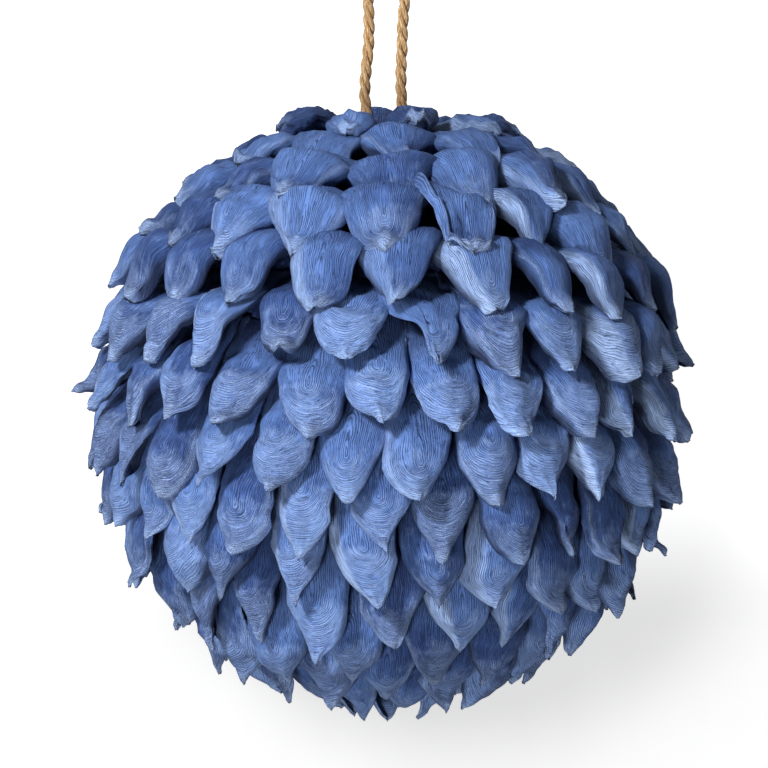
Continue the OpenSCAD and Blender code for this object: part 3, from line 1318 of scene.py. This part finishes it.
@dataclass
class Studio:
    """The white backdrop, the lamps and the camera."""

    wall_y: float = 0.130
    wall_size: float = 4.0
    glow: float = 0.64
    albedo: float = 0.80
    fade: float = 0.30
    fade_low: float = -0.285
    fade_high: float = -0.225
    distance: float = 2.6
    elevation: float = 2.0
    view_width: float = 0.3072
    pixel: float = 0.4 * MM
    centre_shift: tuple = (3.0, 26.0)
    wall: Optional[bpy.types.Object] = None

    def backdrop(self) -> None:
        """Makes the white wall that takes a faint shadow."""
        half = self.wall_size / 2
        mesh = bpy.data.meshes.new("backdrop")
        mesh.from_pydata([(-half, self.wall_y, -half), (half, self.wall_y, -half),
                          (half, self.wall_y, half), (-half, self.wall_y, half)],
                         [], [(0, 1, 2, 3)])
        wall = bpy.data.objects.new("backdrop", mesh)
        material = bpy.data.materials.new("backdrop_white")
        material.use_nodes = True
        material.node_tree.nodes.clear()
        tree = NodeTree(material.node_tree)
        rays = tree.node("ShaderNodeLightPath")
        seen = tree.out(rays, "Is Camera Ray").high(
            tree.out(rays, "Is Glossy Ray")).high(
            tree.out(rays, "Is Transmission Ray"))
        place = tree.out(tree.node("ShaderNodeTexCoord"), "Object")
        grain = tree.noise(place, 60.0)
        height = tree.parts(place)[2]
        # painted light: for camera, glossy and transmission rays the wall glows, and
        # glows more from fade_low up to fade_high, so the lamp's shadow fades out towards
        # the top
        fade = tree.step(height, self.fade_low, self.fade_high, 0.0, self.fade)
        level = tree.step(grain, 0.2, 0.8, self.albedo * 0.99, self.albedo * 1.01)
        matte = tree.node("ShaderNodeBsdfDiffuse", None,
                          {"Color": tree.vector(level, level, level)})
        glow = tree.node("ShaderNodeEmission", None,
                         {"Color": (1, 1, 1, 1), "Strength": fade + self.glow})
        both = tree.node("ShaderNodeAddShader", None,
                         {0: tree.out(matte), 1: tree.out(glow)})
        behind = tree.out(tree.node("ShaderNodeNewGeometry"), "Backfacing")
        plain = tree.node("ShaderNodeBsdfDiffuse", None, {"Color": (0.8, 0.8, 0.8, 1)})
        mixed = tree.node("ShaderNodeMixShader", None,
                          {0: seen, 1: tree.out(plain), 2: tree.out(both)})
        clear = tree.node("ShaderNodeBsdfTransparent")
        whole = tree.node("ShaderNodeMixShader", None,
                          {0: behind * seen, 1: tree.out(mixed),
                           2: tree.out(clear)})
        last = tree.node("ShaderNodeOutputMaterial", None, {0: tree.out(whole)})
        last.is_active_output = True
        mesh.materials.append(material)
        bpy.context.scene.collection.objects.link(wall)
        self.wall = wall

    def lamp(self, name: str, place: tuple[float, float, float], size: float,
             power: float, on_wall: bool) -> None:
        """Adds a square lamp that faces the ball.

        Args:
            name: Its name.
            place: Where it stands, in metres.
            size: Its side.
            power: Its power in watts.
            on_wall: True to light only the backdrop, false all but it.
        """
        data = bpy.data.lights.new(name, "AREA")
        data.size = size
        data.energy = power
        lamp = bpy.data.objects.new(name, data)
        lit = bpy.data.collections.new(name + "_lights")
        lit.objects.link(self.wall)
        lit.collection_objects[0].light_linking.link_state = (
            "INCLUDE" if on_wall else "EXCLUDE")
        lamp.light_linking.receiver_collection = lit
        lamp.location = place
        aim = BALL_CENTRE - Vector(place)
        lamp.rotation_euler = aim.to_track_quat("-Z", "Y").to_euler()
        bpy.context.scene.collection.objects.link(lamp)

    def world(self, level: float) -> None:
        """Fills the room with even light.

        Args:
            level: Its strength.
        """
        world = bpy.data.worlds.new("room")
        world.use_nodes = True
        world.node_tree.nodes.clear()
        tree = NodeTree(world.node_tree)
        rays = tree.node("ShaderNodeLightPath")
        seen = tree.out(rays, "Is Camera Ray").high(
            tree.out(rays, "Is Glossy Ray")).high(
            tree.out(rays, "Is Transmission Ray"))
        strength = level + seen * (1.0 - level)
        shine = tree.node("ShaderNodeBackground", None,
                          {"Color": (1, 1, 1, 1), "Strength": strength})
        tree.node("ShaderNodeOutputWorld", None, {0: tree.out(shine)})
        bpy.context.scene.world = world

    def camera(self) -> None:
        """Places the camera as in the photo."""
        data = bpy.data.cameras.new("photo_camera")
        data.sensor_width = 36.0
        data.lens = 36.0 * self.distance / self.view_width
        data.clip_end = 50.0
        camera = bpy.data.objects.new("photo_camera", data)
        tilt = math.radians(self.elevation)
        up = Vector((0.0, math.sin(tilt), math.cos(tilt)))
        aim = (BALL_CENTRE - Vector((1, 0, 0)) * self.centre_shift[0] * self.pixel
               + up * self.centre_shift[1] * self.pixel)
        back = Vector((0.0, -math.cos(tilt), math.sin(tilt)))
        camera.location = aim + back * self.distance
        camera.rotation_euler = (math.pi / 2 - tilt, 0.0, 0.0)
        bpy.context.scene.collection.objects.link(camera)
        bpy.context.scene.camera = camera

    def build(self) -> None:
        """Builds the whole studio."""
        bpy.context.scene.view_settings.view_transform = "Standard"
        self.backdrop()
        self.world(0.16)
        self.lamp("key_lamp", (-0.88, -1.35, 0.70), 0.28, 37.0, False)
        self.lamp("front_lamp", (-0.42, -1.80, -0.75), 0.34, 21.5, False)
        self.lamp("shadow_lamp", (-0.42, -1.90, 0.11), 0.5, 15.0, True)
        self.camera()
        log.info("studio ready")


def main() -> None:
    """Builds the object and its studio."""
    logging.basicConfig(level=logging.INFO, format="%(message)s")
    nodes = frame["nodes"]
    Core().build(nodes["core_ball"])
    PetalCoat().build(nodes)
    RopeLoop().build()
    Studio().build()


if __name__ == "__main__":
    main()
